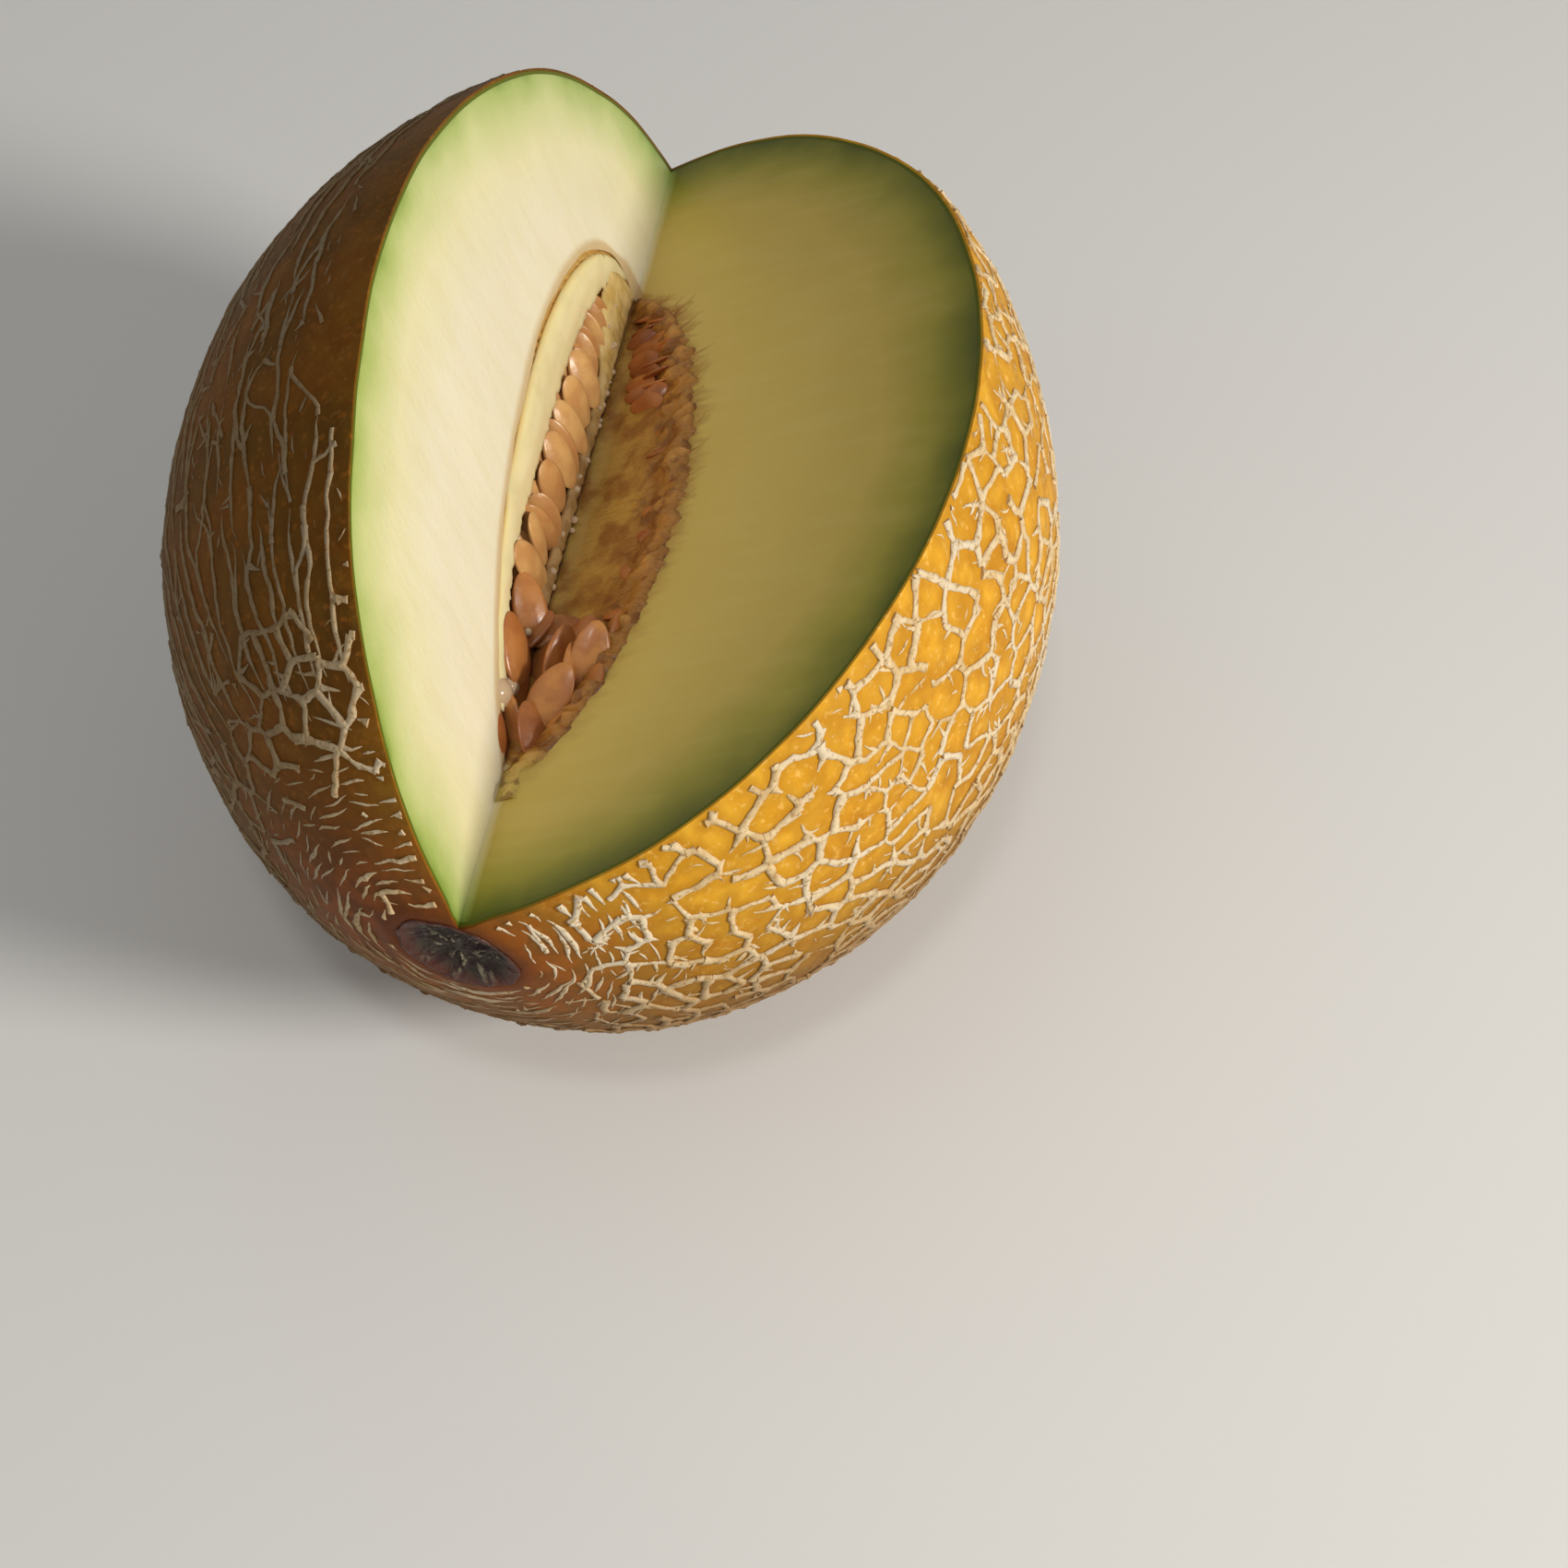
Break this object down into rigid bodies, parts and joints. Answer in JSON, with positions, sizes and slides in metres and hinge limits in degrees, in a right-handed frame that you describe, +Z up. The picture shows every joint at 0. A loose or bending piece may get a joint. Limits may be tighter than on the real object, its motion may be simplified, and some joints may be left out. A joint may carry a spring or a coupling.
{
  "type": "galia melon with a wedge cut out",
  "caption": "Round netted melon lying on its side, with a wedge cut out along its length that shows pale green flesh, pulp and seeds.",
  "frame": {"origin": "under the middle of the fruit's box, on the surface that it rests on", "axes": "+Z up out of the wedge, +Y along the fruit from the near scar to the far scar"},
  "size_m": [0.1389, 0.1655, 0.1367],
  "materials": {
    "rind": "satin",
    "net": "matte",
    "flesh": "satin",
    "pulp": "gloss",
    "seed": "gloss"
  },
  "bodies": {
    "root": {"fruit": "rind", "placenta": "pulp", "seed_row_left": "seed", "seed_row_right": "seed", "seed_cluster": "seed"}
  },
  "joints": []
}
